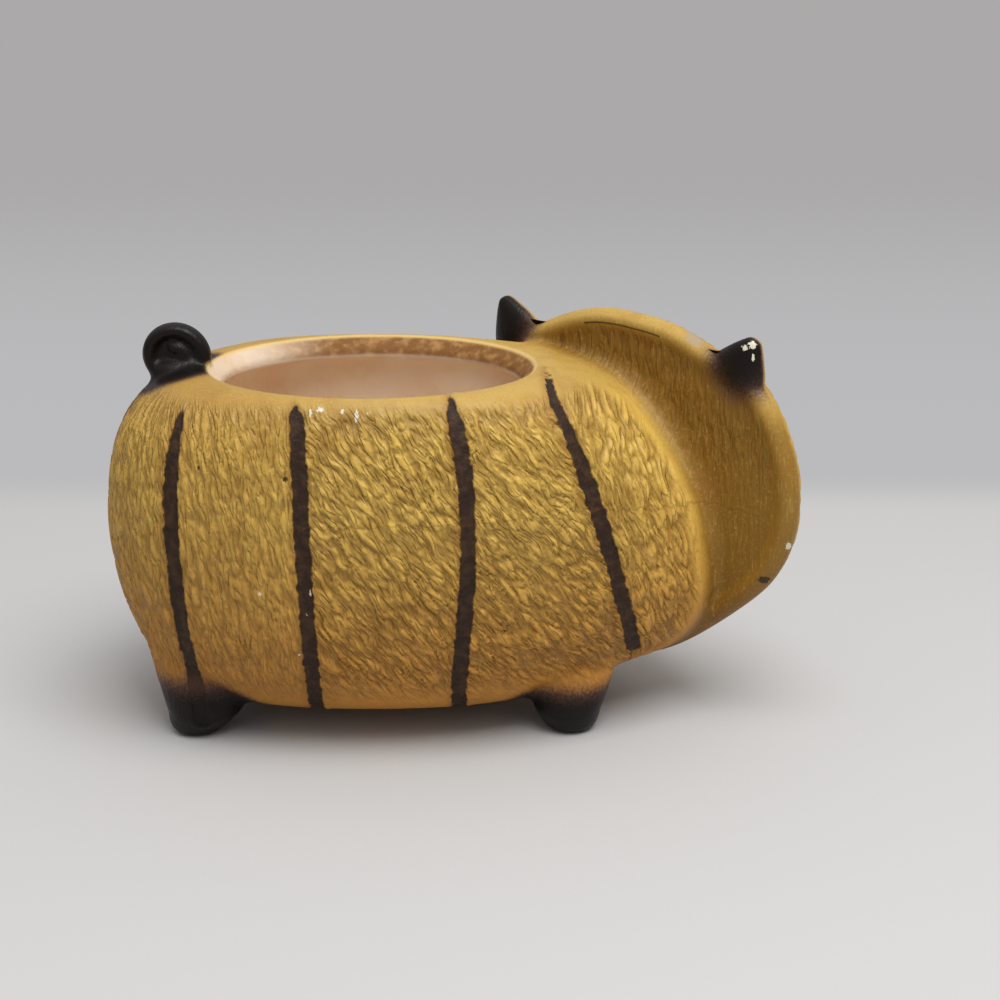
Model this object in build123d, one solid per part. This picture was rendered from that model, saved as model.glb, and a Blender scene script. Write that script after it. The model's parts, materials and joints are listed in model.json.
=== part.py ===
from build123d import *
import math
import os

# A striped ceramic animal planter, in millimetres, +Z up.
# The body is a hollow pot with its mouth in the back. The head is turned to the animal's left.
# X runs from the tail to the head, and Y to the animal's left.
# The pieces are modelled about the point on the floor under the middle of the mouth. At the end they
# are moved, so that the origin is on the floor in the middle of the whole planter's bounding box.

# Body pot
RIM_HEIGHT = 121.0
BELLY_HEIGHT = 9.0
BODY_HALF_LENGTH = 90.0
BODY_HALF_WIDTH = 61.0
WALL = 6.0
RIM_LAND = 1.6
LIP_WIDTH = 5.0
LIP_DEPTH = 5.0
THROAT_DEPTH = 3.0
CHEST_START_SHARE = 0.6
CHEST_SLOPE = 15.0
PLAN_EXPONENT = 2.5
# Each row: height, half-length, half-width, and the neck's half-widths on its right and left side
BODY_SHARES = [
    (0.00, 0.640, 0.520, 0.22, 0.30),
    (0.04, 0.745, 0.665, 0.36, 0.48),
    (0.10, 0.830, 0.785, 0.57, 0.74),
    (0.22, 0.920, 0.910, 0.90, 1.02),
    (0.39, 0.980, 0.975, 1.00, 1.09),
    (0.57, 1.000, 1.000, 0.90, 1.11),
    (0.73, 0.978, 0.985, 0.64, 1.09),
    (0.86, 0.920, 0.945, 0.30, 1.05),
    (0.94, 0.835, 0.895, -0.05, 1.02),
    (0.98, 0.740, 0.845, -0.42, 0.99),
    (1.00, 0.633, 0.805, -0.77, 0.97),
]
OVAL_ANGLES = range(90, 301, 21)
RIGHT_PULL_SHARES = (0.40, 0.30)
LEFT_PULL_SHARES = (0.40, 0.40)
BEND_SHARES = (1 / 3, 2 / 3)
RIGHT_HEADING = 35.0
RIGHT_HEADING_AT_RIM = 110.0
LEFT_HEADING = -25.0

# Head, a wide hollow mask on a back plate, standing on the end of the neck
HEAD_TURN = 49.0
HEAD_PLACE_SHARES = (0.933, 0.195)
HEAD_HALF_WIDTH = 71.0
CHIN_HEIGHT = 12.0
CROWN_RISE = 15.0
CROWN_HEIGHT = RIM_HEIGHT + CROWN_RISE
HEAD_DEPTH = 28.0
MASK_WALL = 5.0
BACK_PLATE = 2.5
BACK_EDGE_SHARE = 0.965
NECK_HALF_WIDTH = 42.0
COLLAR_LENGTH = 4.0
VENT_DIAMETER = 6.0
VENT_HEIGHT_SHARE = 0.7
# Half of the head's outline, from the crown to the chin: half-width and height above the chin
OUTLINE_SHARES = [
    (0.000, 1.000),
    (0.323, 0.976),
    (0.580, 0.916),
    (0.796, 0.851),
    (0.920, 0.747),
    (1.000, 0.594),
    (0.982, 0.450),
    (0.872, 0.321),
    (0.715, 0.229),
    (0.540, 0.145),
    (0.270, 0.042),
    (0.000, 0.000),
]
# The face bulges forward: depth in front of the back plate and size of the outline there
BULGE_SHARES = [
    (0.00, 1.000),
    (0.16, 0.995),
    (0.31, 0.960),
    (0.51, 0.880),
    (0.73, 0.720),
    (0.91, 0.500),
    (1.00, 0.280),
]

# Face features, as places across the half-width and up the height of the head
EYE_PLACE_SHARES = (0.36, 0.60)
EYE_RADII = (11.0, 8.5, 4.0)
MUZZLE_PLACE_SHARES = (0.13, 0.31)
MUZZLE_RADII = (15.0, 11.0, 8.0)
NOSE_PLACE_SHARES = (0.0, 0.42)
NOSE_RADII = (8.5, 5.5, 5.5)
NOSE_RISE = 4.0

# Ears, as places across the half-width and up the height of the head
EAR_ROOT_SHARES = {"left": (0.680, 0.868), "right": (0.640, 0.868)}
EAR_TIP_SHARES = {"left": (0.785, 0.985), "right": (0.738, 0.980)}
EAR_HALF_WIDTH = 14.5
EAR_HALF_DEPTH = 4.2
EAR_DEPTH_IN_HEAD = 4.0
EAR_TIP_RADIUS = 2.2
EAR_WAIST_SHARES = (0.50, 0.55)

# Tail, one coil standing on the rump
TAIL_PLACE_SHARE = -0.744
TAIL_X = TAIL_PLACE_SHARE * BODY_HALF_LENGTH
TAIL_RISE = 2.5
TAIL_HEIGHT = RIM_HEIGHT + TAIL_RISE
TAIL_OUTER_RADIUS = 11.7
TAIL_INNER_RADIUS = 3.0
TAIL_TUBE_RADIUS = 2.6
TAIL_TUBE_HALF_WIDTH = 4.2
TAIL_TURN_GAP = 0.6
TAIL_TURNS = (TAIL_OUTER_RADIUS - TAIL_INNER_RADIUS) / (2 * TAIL_TUBE_RADIUS + TAIL_TURN_GAP)
TAIL_START = -75.0
TAIL_STEPS = 40
TAIL_ROOT_RADII = (9.5, 7.0, 5.0)
TAIL_WEB = 3.4
TAIL_WEB_RADIUS = 8.0
TAIL_WEB_SHIFT = 1.2

# Legs cast with the body, and the feet under them, as places along its half-length and half-width
LEG_STEP = 1.0
FOOT_HEIGHT = BELLY_HEIGHT - LEG_STEP
FOOT_RADIUS = 8.0
FOOT_ROUNDING = 4.4
REAR_FOOT_TOP_RADIUS = 13.0
FRONT_FOOT_TOP_RADIUS = 11.8
REAR_FOOT_LEAN = 4.2
FRONT_FOOT_LEAN = -1.6
LEG_TOP_RADIUS = 16.0
REAR_LEG_HEIGHT = 46.0
FRONT_LEG_HEIGHT = 24.0
REAR_LEAN_SHARES = (-0.12, 0.40)
FRONT_LEAN_SHARES = (-0.06, 0.45)
FOOT_PLACE_SHARES = {
    "rear_right": (-0.678, -0.451),
    "rear_left": (-0.678, 0.451),
    "front_right": (0.750, -0.418),
    "front_left": (0.429, 0.440),
}

# Stripes, dark slip laid in carved grooves: each row is a place along the half-length and up the rim height
STRIPE_WIDTH = 4.8
STRIPE_DEPTH = 1.2
FLANK_SHARE = 0.2
REAR_STRIPE_SHARES = [(-0.650, 0.945), (-0.686, 0.735), (-0.681, 0.484), (-0.669, 0.329), (-0.650, 0.200)]
STRIPE_SHARES = {
    "right_1": REAR_STRIPE_SHARES,
    "right_2": [(-0.225, 0.960), (-0.219, 0.885), (-0.212, 0.680), (-0.204, 0.456), (-0.199, 0.140)],
    "right_3": [(0.319, 0.960), (0.340, 0.890), (0.367, 0.650), (0.362, 0.510), (0.327, 0.135)],
    "right_4": [(0.678, 0.957), (0.726, 0.888), (0.787, 0.771), (0.889, 0.529), (0.976, 0.268)],
    "left_1": REAR_STRIPE_SHARES,
    "left_2": [(-0.285, 0.960), (-0.295, 0.710), (-0.285, 0.500), (-0.265, 0.290), (-0.245, 0.135)],
    "left_3": [(0.060, 0.960), (0.070, 0.710), (0.075, 0.500), (0.065, 0.290), (0.050, 0.135)],
}


def direction(angle):
    """A level unit vector, turned from +X towards +Y."""
    return Vector(math.cos(math.radians(angle)), math.sin(math.radians(angle)), 0)


def head_plane(forward):
    """The head's upright plane: x to the face's left, y up, z the way that it looks."""
    looks = direction(HEAD_TURN)
    along, across = HEAD_PLACE_SHARES
    centre = Vector(along * BODY_HALF_LENGTH, across * BODY_HALF_WIDTH, 0)
    return Plane(centre + looks * forward, x_dir=looks.rotate(Axis.Z, 90), z_dir=looks)


def bezier(start, first, second, end, share):
    rest = 1 - share
    return start * rest**3 + first * (3 * rest**2 * share) + second * (3 * rest * share**2) + end * share**3


def oval_point(half_length, half_width, height, angle):
    """A point of the body's plan, a rounded oval between an ellipse and a box."""
    way = direction(angle)
    power = 2 / PLAN_EXPONENT
    x = math.copysign(abs(way.X) ** power, way.X) * half_length
    y = math.copysign(abs(way.Y) ** power, way.Y) * half_width
    return Vector(x, y, height)


def body_slice(row, inset, low, high):
    """A level slice of the body: an open curve round the rump, closed along the neck's joint."""
    height_share, length_share, width_share, right_share, left_share = row
    z = low + height_share * (high - low)
    half_length = (BODY_HALF_LENGTH - inset) * length_share
    half_width = (BODY_HALF_WIDTH - inset) * width_share
    neck = NECK_HALF_WIDTH - inset
    joint = head_plane(-COLLAR_LENGTH - inset)
    right_end = joint.from_local_coords(Vector(-neck * right_share, z, 0))
    left_end = joint.from_local_coords(Vector(neck * left_share, z, 0))
    oval = [oval_point(half_length, half_width, z, angle) for angle in OVAL_ANGLES]

    reach = (left_end - oval[0]).length
    first = oval[0] + Vector(1, 0, 0) * reach * LEFT_PULL_SHARES[0]
    second = left_end - direction(LEFT_HEADING) * reach * LEFT_PULL_SHARES[1]
    left_side = [bezier(left_end, second, first, oval[0], share) for share in BEND_SHARES]

    reach = (right_end - oval[-1]).length
    before_end = oval_point(half_length, half_width, z, OVAL_ANGLES[-1] - 1)
    heading = RIGHT_HEADING + (RIGHT_HEADING_AT_RIM - RIGHT_HEADING) * height_share**4
    first = oval[-1] + (oval[-1] - before_end).normalized() * reach * RIGHT_PULL_SHARES[0]
    second = right_end - direction(heading) * reach * RIGHT_PULL_SHARES[1]
    right_side = [bezier(oval[-1], first, second, right_end, share) for share in BEND_SHARES]

    curve = Spline(left_end, *left_side, *oval, *right_side, right_end)
    return make_face([curve, Line(right_end, left_end)])


def chest_wedge(low):
    """The room under the chest, where the body rises towards the chin."""
    start = CHEST_START_SHARE * BODY_HALF_LENGTH
    end = start + BODY_HALF_LENGTH
    rise = BODY_HALF_LENGTH * math.tan(math.radians(CHEST_SLOPE))
    side = make_face(Polyline((start, low), (end, low), (end, low + rise), close=True))
    return extrude(Plane.XZ * side, BODY_HALF_WIDTH, both=True)


def body_form(inset, low, high):
    form = loft([body_slice(row, inset, low, high) for row in BODY_SHARES])
    return form - chest_wedge(low)


def ellipsoid(radii):
    return scale(Sphere(1), by=radii)


def mouth():
    """The funnel of the lip, and the throat that opens it into the pot."""
    lip_height = RIM_HEIGHT - LIP_DEPTH
    half_length = BODY_HALF_LENGTH * BODY_SHARES[-1][1] - RIM_LAND
    half_width = BODY_HALF_WIDTH * BODY_SHARES[-1][2] - RIM_LAND
    throat = Ellipse(half_length - LIP_WIDTH, half_width - LIP_WIDTH)
    top = Pos(0, 0, RIM_HEIGHT) * Ellipse(half_length, half_width)
    funnel = loft([Pos(0, 0, lip_height) * throat, top])
    return funnel + extrude(Pos(0, 0, lip_height) * throat, -THROAT_DEPTH - WALL)


def foot_place(shares):
    along, across = shares
    return Vector(along * BODY_HALF_LENGTH, across * BODY_HALF_WIDTH, 0)


def foot_top(name):
    """The round face between a foot and its leg."""
    rear = name.startswith("rear")
    lean = REAR_FOOT_LEAN if rear else FRONT_FOOT_LEAN
    radius = REAR_FOOT_TOP_RADIUS if rear else FRONT_FOOT_TOP_RADIUS
    return Pos(foot_place(FOOT_PLACE_SHARES[name]) + Vector(lean, 0, FOOT_HEIGHT)) * Circle(radius)


def leg(name):
    """A stub that widens upwards, out along the body and in under the belly."""
    bottom = foot_place(FOOT_PLACE_SHARES[name])
    rear = name.startswith("rear")
    lean_along, lean_across = REAR_LEAN_SHARES if rear else FRONT_LEAN_SHARES
    rise = REAR_LEG_HEIGHT if rear else FRONT_LEG_HEIGHT
    top = Vector(bottom.X * (1 - lean_along), bottom.Y * (1 - lean_across), FOOT_HEIGHT + rise)
    return loft([foot_top(name), Pos(top) * Circle(LEG_TOP_RADIUS)])


def foot(name):
    """A short pad that widens up to its leg, flat on the floor with a rounded edge."""
    bottom = Pos(foot_place(FOOT_PLACE_SHARES[name])) * Circle(FOOT_RADIUS)
    pad = loft([bottom, foot_top(name)])
    return fillet(pad.edges().sort_by(Axis.Z)[0], FOOT_ROUNDING)


def stripe(name, skin, groove_floor):
    """A band of slip between the body's skin and the floor of its groove."""
    places = [(x * BODY_HALF_LENGTH, z * RIM_HEIGHT) for x, z in STRIPE_SHARES[name]]
    half = STRIPE_WIDTH / 2
    rear = [(x - half, z) for x, z in places]
    front = [(x + half, z) for x, z in places]
    outline = [Spline(*rear), Line(rear[-1], front[-1]), Spline(*front), Line(front[0], rear[0])]
    side = 1 if name.startswith("left") else -1
    flank = Plane.XZ.offset(-side * FLANK_SHARE * BODY_HALF_WIDTH)
    band = extrude(flank * make_face(outline), -side * BODY_HALF_WIDTH)
    return (band & skin) - groove_floor


def head_place(shares, side=1):
    """A place on the head's plane, from shares of its half-width and height."""
    across, up = shares
    return (side * across * HEAD_HALF_WIDTH, CHIN_HEIGHT + up * (CROWN_HEIGHT - CHIN_HEIGHT))


def head_outline(size_share, forward):
    half = [head_place(shares) for shares in OUTLINE_SHARES]
    other = [(-x, y) for x, y in reversed(half[1:-1])]
    middle = (CHIN_HEIGHT + CROWN_HEIGHT) / 2
    points = [(x * size_share, middle + (y - middle) * size_share) for x, y in half + other]
    return head_plane(forward) * make_face(Spline(*points, periodic=True))


def bulge(size_share, depth):
    rows = [(size_share * size, BACK_PLATE + share * depth) for share, size in BULGE_SHARES]
    return loft([head_outline(size, forward) for size, forward in rows])


def back_plate():
    return loft([head_outline(BACK_EDGE_SHARE, 0), head_outline(1, BACK_PLATE)])


def vent():
    """A hole that lets the hollow head breathe into the pot while it is fired."""
    back = head_plane(-COLLAR_LENGTH - 2 * WALL)
    hole = Pos(0, VENT_HEIGHT_SHARE * RIM_HEIGHT, 0) * Circle(VENT_DIAMETER / 2)
    return extrude(back * hole, COLLAR_LENGTH + 2 * WALL + BACK_PLATE)


def ear(name, side):
    """A pointed ear that stands on the rim of the head."""
    root = Vector(*head_place(EAR_ROOT_SHARES[name], side))
    tip = Vector(*head_place(EAR_TIP_SHARES[name], side))
    rise = (tip - root).normalized()
    waist_share, waist_size = EAR_WAIST_SHARES
    sections = [
        (root - rise * EAR_DEPTH_IN_HEAD, EAR_HALF_WIDTH, EAR_HALF_DEPTH),
        (root + (tip - root) * waist_share, EAR_HALF_WIDTH * waist_size, EAR_HALF_DEPTH),
        (tip, EAR_TIP_RADIUS, EAR_TIP_RADIUS),
    ]
    faces = []
    for middle, half_width, half_depth in sections:
        plane = Plane(middle, x_dir=rise.rotate(Axis.Z, -90), z_dir=rise)
        faces.append(plane * Ellipse(half_width, half_depth))
    return head_plane(EAR_HALF_DEPTH) * loft(faces)


def tail():
    """A coil of clay that leaves the rump and curls in on itself, with a web in it and a low root."""
    points = []
    for step in range(TAIL_STEPS + 1):
        share = step / TAIL_STEPS
        radius = TAIL_OUTER_RADIUS + (TAIL_INNER_RADIUS - TAIL_OUTER_RADIUS) * share
        way = direction(TAIL_START + TAIL_TURNS * 360 * share)
        points.append(Vector(TAIL_X + way.X * radius, 0, TAIL_HEIGHT + way.Y * radius))
    path = Spline(*points)
    start = Plane(points[0], x_dir=(0, 1, 0), z_dir=path % 0)
    coil = sweep(start * Ellipse(TAIL_TUBE_HALF_WIDTH, TAIL_TUBE_RADIUS), path=path)
    disc = Cylinder(TAIL_WEB_RADIUS, TAIL_WEB, rotation=(90, 0, 0))
    web = Pos(TAIL_X + TAIL_WEB_SHIFT, 0, TAIL_HEIGHT) * disc
    root = Pos(TAIL_X + TAIL_WEB_SHIFT, 0, RIM_HEIGHT - TAIL_RISE) * ellipsoid(TAIL_ROOT_RADII)
    return coil + web + root


def feature(place, forward, radii):
    """A rounded lump of clay set on the front of the face."""
    return head_plane(forward) * (Pos(*place) * ellipsoid(radii))


def build():
    parts = {}
    skin = body_form(0, BELLY_HEIGHT, RIM_HEIGHT)
    hollow = body_form(WALL, BELLY_HEIGHT + WALL, RIM_HEIGHT - LIP_DEPTH - THROAT_DEPTH)
    groove_floor = body_form(STRIPE_DEPTH, BELLY_HEIGHT + STRIPE_DEPTH, RIM_HEIGHT - STRIPE_DEPTH)
    legs = [leg(name) for name in FOOT_PLACE_SHARES]
    shell = skin + legs - hollow - mouth() - vent()
    for name in STRIPE_SHARES:
        parts["stripe_" + name] = stripe(name, skin, groove_floor)
        shell -= parts["stripe_" + name]
    parts["body_shell"] = shell

    joint_centre = head_plane(-COLLAR_LENGTH).origin
    joint = skin.faces().filter_by(Plane(joint_centre, z_dir=direction(HEAD_TURN)))[0]
    collar = extrude(joint, COLLAR_LENGTH, dir=direction(HEAD_TURN))
    parts["head_back"] = back_plate() + collar - vent()

    face_depth = HEAD_DEPTH - BACK_PLATE
    face = bulge(1, face_depth)
    parts["face_mask"] = face - bulge(1 - MASK_WALL / HEAD_HALF_WIDTH, face_depth - MASK_WALL)
    head = face + back_plate()
    muzzle = [feature(head_place(MUZZLE_PLACE_SHARES, side), HEAD_DEPTH, MUZZLE_RADII) for side in (1, -1)]
    muzzle = muzzle[0] + muzzle[1]
    parts["muzzle"] = muzzle - face
    nose = feature(head_place(NOSE_PLACE_SHARES), HEAD_DEPTH + NOSE_RISE, NOSE_RADII)
    parts["nose"] = nose - muzzle - face
    for side, name in ((1, "left"), (-1, "right")):
        parts["eye_" + name] = feature(head_place(EYE_PLACE_SHARES, side), HEAD_DEPTH, EYE_RADII) - face
        parts["ear_" + name] = ear(name, side) - head

    parts["tail_curl"] = tail() - skin
    for name in FOOT_PLACE_SHARES:
        parts["foot_" + name] = foot(name)
    return parts


def write(parts):
    box = Compound(children=[part.solids()[0] for part in parts.values()]).bounding_box()
    shift = Pos(-box.center().X, -box.center().Y, -box.min.Z)
    print("moved by", shift.position, "size", box.size)
    os.makedirs("parts", exist_ok=True)
    for name, part in parts.items():
        print(name, len(part.solids()), round(part.volume, 1), part.is_valid)
        export_step(shift * part.solids()[0], f"parts/{name}.step")


write(build())
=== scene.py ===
import json
import math

import bmesh
import bpy
import numpy as np
import openvdb
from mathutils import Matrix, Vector


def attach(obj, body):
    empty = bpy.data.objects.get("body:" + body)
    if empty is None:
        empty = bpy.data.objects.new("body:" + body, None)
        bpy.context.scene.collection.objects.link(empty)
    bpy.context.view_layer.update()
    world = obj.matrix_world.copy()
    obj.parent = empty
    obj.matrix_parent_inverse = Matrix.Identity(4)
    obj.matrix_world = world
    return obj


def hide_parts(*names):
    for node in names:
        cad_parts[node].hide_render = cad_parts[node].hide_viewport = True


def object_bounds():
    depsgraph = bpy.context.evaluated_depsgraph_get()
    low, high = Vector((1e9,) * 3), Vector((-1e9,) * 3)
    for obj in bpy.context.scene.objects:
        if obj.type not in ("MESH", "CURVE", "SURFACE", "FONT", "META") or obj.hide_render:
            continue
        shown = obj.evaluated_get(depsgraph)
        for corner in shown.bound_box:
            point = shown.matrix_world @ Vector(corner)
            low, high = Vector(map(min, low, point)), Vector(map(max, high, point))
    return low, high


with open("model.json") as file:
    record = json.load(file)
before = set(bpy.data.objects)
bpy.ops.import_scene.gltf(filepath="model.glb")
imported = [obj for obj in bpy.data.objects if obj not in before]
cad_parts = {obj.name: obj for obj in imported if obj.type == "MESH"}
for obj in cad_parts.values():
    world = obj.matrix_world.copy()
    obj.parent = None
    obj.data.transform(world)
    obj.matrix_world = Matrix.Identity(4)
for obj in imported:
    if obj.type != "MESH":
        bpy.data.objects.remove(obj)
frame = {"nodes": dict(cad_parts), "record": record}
cad_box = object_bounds()

# Lengths are in millimetres in the CAD frame, and become metres when a mesh is made.
MM = 0.001
VOXEL = 0.85
# The fields' band and the room round the planter, in voxels, and a distance for what isn't near
BAND = 14
MARGIN = 8
FAR = 50.0

NODES = frame["nodes"]
STRIPES = sorted(name for name in NODES if name.startswith("stripe_"))
FEET = sorted(name for name in NODES if name.startswith("foot_"))
EARS = ("ear_left", "ear_right")
EYES = ("eye_left", "eye_right")

# The head looks this far to the animal's left of straight ahead
HEAD_TURN = math.radians(49)
LOOKS = np.array([math.cos(HEAD_TURN), math.sin(HEAD_TURN), 0])
FACE_LEFT = np.array([-math.sin(HEAD_TURN), math.cos(HEAD_TURN), 0])

# How far the clay is rounded: at all edges, in creases, and beside the neck and the legs
EDGE_BLUR = 0.7
CREASE_BLUR = 3.0
NECK_BLUR = 7.0
NECK_BLEND_START = 14.0
LEG_BLEND_TOP = 32.0
BLUR_SIGMAS = 2.5
EASE_ROUNDS = 2

# Depths of the modelled fur, the carved stripes and marks, and the dished back of the head
FUR_DEPTH = 1.3
STRIPE_WIDTH = 4.8
STRIPE_DEPTH = 0.7
STRIPE_LIP = 0.35
DISH_DEPTH = 1.2
EYE_RING_HEIGHT = 1.3
BROW_HEIGHT = 1.0


def node_mesh(*names):
    """The points of some CAD nodes in millimetres, and their triangles."""
    points, triangles, count = [], [], 0
    for name in names:
        mesh = NODES[name].data
        places = np.empty(len(mesh.vertices) * 3, dtype=np.float32)
        mesh.vertices.foreach_get("co", places)
        mesh.calc_loop_triangles()
        corners = np.empty(len(mesh.loop_triangles) * 3, dtype=np.int32)
        mesh.loop_triangles.foreach_get("vertices", corners)
        points.append(places.reshape(-1, 3) / MM)
        triangles.append(corners.reshape(-1, 3) + count)
        count += len(mesh.vertices)
    return np.concatenate(points), np.concatenate(triangles).astype(np.uint32)


def node_points(name):
    return node_mesh(name)[0]


def node_box(name):
    points = node_points(name)
    return points.min(axis=0), points.max(axis=0)


def node_middle(name):
    low, high = node_box(name)
    return (low + high) / 2


# Places that the CAD gives
openings = {opening["name"]: opening for opening in frame["record"]["physics"]["openings"]}
MOUTH = np.array(openings["planting_mouth"]["box_m"]).mean(axis=0) / MM * (1, 1, 0)
RIM_HEIGHT = node_box("body_shell")[1][2]
FOOT_HEIGHT = node_box(FEET[0])[1][2]
JOINT = (node_points("head_back") @ LOOKS).min()
SEAM = (node_points("face_mask") @ LOOKS).min()
HEAD_SPAN = node_points("face_mask") @ FACE_LEFT
HEAD_MIDDLE = (HEAD_SPAN.min() + HEAD_SPAN.max()) / 2
CHIN, CROWN = node_box("face_mask")[0][2], node_box("face_mask")[1][2]
TAIL = node_middle("tail_curl")


def smooth(values, start, end):
    """A ramp from 0 at start to 1 at end, eased at both ends."""
    share = np.clip((values - start) / (end - start), 0, 1)
    return share * share * (3 - 2 * share)


def ridge(values, middle, width):
    """A smooth bump, 1 at the middle and near 0 beyond twice the width."""
    return np.exp(-(((values - middle) / width) ** 2))


# The size of the noise's table of slopes, and the gain that brings the noise near -1 to 1
WAVE_CELLS = 64
WAVE_GAIN = 1.6


def waves(u, v, seed):
    """Gradient noise over a plane, from about -1 to 1."""
    angles = np.random.default_rng(seed).uniform(0, 2 * math.pi, (WAVE_CELLS, WAVE_CELLS))
    column, row = np.floor(u).astype(int), np.floor(v).astype(int)
    u, v = u - column, v - row
    ease_u, ease_v = smooth(u, 0, 1), smooth(v, 0, 1)

    def corner(right, up):
        angle = angles[(column + right) % WAVE_CELLS, (row + up) % WAVE_CELLS]
        return np.cos(angle) * (u - right) + np.sin(angle) * (v - up)

    low = corner(0, 0) * (1 - ease_u) + corner(1, 0) * ease_u
    high = corner(0, 1) * (1 - ease_u) + corner(1, 1) * ease_u
    return WAVE_GAIN * (low * (1 - ease_v) + high * ease_v)


# The grid that holds the whole planter as a distance field
GRID_LOW = np.floor(np.array(cad_box[0]) / MM / VOXEL).astype(int) - MARGIN
GRID_HIGH = np.ceil(np.array(cad_box[1]) / MM / VOXEL).astype(int) + MARGIN
GRID_SHAPE = tuple(GRID_HIGH - GRID_LOW + 1)
GRID_START = tuple(int(i) for i in GRID_LOW)
GRID_TRANSFORM = openvdb.createLinearTransform(voxelSize=VOXEL)
GRID_X, GRID_Y, GRID_Z = np.meshgrid(
    *[(np.arange(low, high + 1) * VOXEL).astype(np.float32) for low, high in zip(GRID_LOW, GRID_HIGH)],
    indexing="ij", sparse=True)


def node_field(*names):
    """The distance field of some CAD nodes that don't touch each other, negative inside."""
    points, triangles = node_mesh(*names)
    grid = openvdb.FloatGrid.createLevelSetFromPolygons(
        points, triangles=triangles, transform=GRID_TRANSFORM, halfWidth=BAND)
    values = np.empty(GRID_SHAPE, dtype=np.float32)
    grid.copyToArray(values, ijk=GRID_START)
    return values


def joined(*fields):
    return np.minimum.reduce(fields)


def blurred(field, sigma):
    """The field with a Gaussian blur, sigma in millimetres."""
    reach = int(math.ceil(BLUR_SIGMAS * sigma / VOXEL))
    offsets = np.arange(-reach, reach + 1)
    weights = np.exp(-0.5 * (offsets * VOXEL / sigma) ** 2)
    weights = (weights / weights.sum()).astype(np.float32)
    for axis in range(3):
        pad = [(reach, reach) if a == axis else (0, 0) for a in range(3)]
        padded = np.pad(field, pad, mode="edge")
        total = np.zeros_like(field)
        for start, weight in enumerate(weights):
            part = [slice(None)] * 3
            part[axis] = slice(start, start + field.shape[axis])
            total += weight * padded[tuple(part)]
        field = total
    return field


def filled_through(field):
    """The field with the closed hollow inside a lens-shaped solid filled, looking along Y."""
    inside = field < 0
    after_first = np.maximum.accumulate(inside, axis=1)
    before_last = np.maximum.accumulate(inside[:, ::-1], axis=1)[:, ::-1]
    return np.where(after_first & before_last & ~inside, -field, field)


def surface(field):
    """The quads of a field's zero surface, facing out, with points in millimetres."""
    grid = openvdb.FloatGrid(BAND * VOXEL)
    grid.copyFromArray(field, ijk=GRID_START)
    grid.transform = GRID_TRANSFORM
    grid.gridClass = openvdb.GridClass.LEVEL_SET
    points, quads = grid.convertToQuads(isovalue=0)
    return points.astype(np.float64), quads[:, ::-1].astype(np.int64)


def planter_clay():
    """The distance field of the whole planter as one piece of clay, with its creases filled."""
    body = joined(node_field("body_shell"), node_field(*STRIPES))
    head = joined(*[node_field(name) for name in ("head_back", "face_mask", "muzzle")])
    small = node_field(*EARS, "tail_curl", *FEET)
    sharp = joined(body, filled_through(head), small)
    forward = GRID_X * LOOKS[0] + GRID_Y * LOOKS[1] - JOINT
    behind = np.maximum(-NECK_BLEND_START - forward, 0)
    above = np.maximum(GRID_Z - LEG_BLEND_TOP, 0)
    soft = blurred(sharp, NECK_BLUR) + np.minimum(behind, above)
    return joined(blurred(sharp, EDGE_BLUR), blurred(sharp, CREASE_BLUR), soft)


def corner_normals(points, quads):
    """Unit normals at the points of a mesh of quads."""
    faces = np.cross(points[quads[:, 2]] - points[quads[:, 0]], points[quads[:, 3]] - points[quads[:, 1]])
    normals = np.stack([
        np.bincount(quads.ravel(), np.repeat(faces[:, axis], 4), len(points)) for axis in range(3)], axis=1)
    return normals / np.maximum(np.linalg.norm(normals, axis=1, keepdims=True), 1e-9)


def eased(points, quads, rounds):
    """The points drawn half-way to their neighbours, which takes out the grid's steps."""
    ends = np.concatenate([quads[:, [corner, (corner + 1) % 4]] for corner in range(4)])
    ends = np.concatenate([ends, ends[:, ::-1]])
    count = np.bincount(ends[:, 0], minlength=len(points))[:, None]
    for _ in range(rounds):
        total = np.stack([
            np.bincount(ends[:, 0], points[ends[:, 1], axis], len(points)) for axis in range(3)], axis=1)
        points = (points + total / count) / 2
    return points


clay_field = planter_clay()
skin_points, skin_quads = surface(clay_field)
skin_points = eased(skin_points, skin_quads, EASE_ROUNDS)
skin_normals = corner_normals(skin_points, skin_quads)

# How the skin turns from body to head about the joint, and to face in front of the seam
JOINT_BLEND = 4.0
FACE_START = 1.0
FACE_FULL = 5.0

# Where each point of the skin is: from the middle of the mouth, and across and along the way the head looks
X, Y, Z = (skin_points - MOUTH).T
FORWARD = skin_points @ LOOKS
ACROSS = skin_points @ FACE_LEFT - HEAD_MIDDLE
BACKWARD = -(skin_normals @ LOOKS)
HEADED = smooth(FORWARD, JOINT - JOINT_BLEND, JOINT + JOINT_BLEND)
FACED = smooth(FORWARD, SEAM + FACE_START, SEAM + FACE_FULL)

# The rim of the mouth: how flat it is, and the half-width of the slices that measure it
RIM_FLATNESS = 0.2
RIM_SLICE = 8.0
# The lip: its outer edge in shares of the mouth, and its room below and above the rim's height
LIP_EDGE_SHARES = (1.02, 0.985)
LIP_DROP = 16.0
LIP_RISE = 0.3
# The hollow: its room above the feet and below the rim, and steps towards the pot's middle which all end
# in air when they start on the inside of the wall
HOLLOW_RISE = 5.0
HOLLOW_DROP = 3.0
INSIDE_PROBES = (3.2, 5.5, 8.0, 11.0)


def mouth_reach():
    """How far out a point is in the mouth, where 1 is the mouth's upper edge."""
    rim = node_points("body_shell") - MOUTH
    rim = rim[rim[:, 2] > RIM_HEIGHT - RIM_FLATNESS]
    half_length = np.abs(rim[np.abs(rim[:, 1]) < RIM_SLICE, 0]).min()
    half_width = np.abs(rim[np.abs(rim[:, 0]) < RIM_SLICE, 1]).min()
    return np.hypot(X / half_length, Y / half_width)


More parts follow.
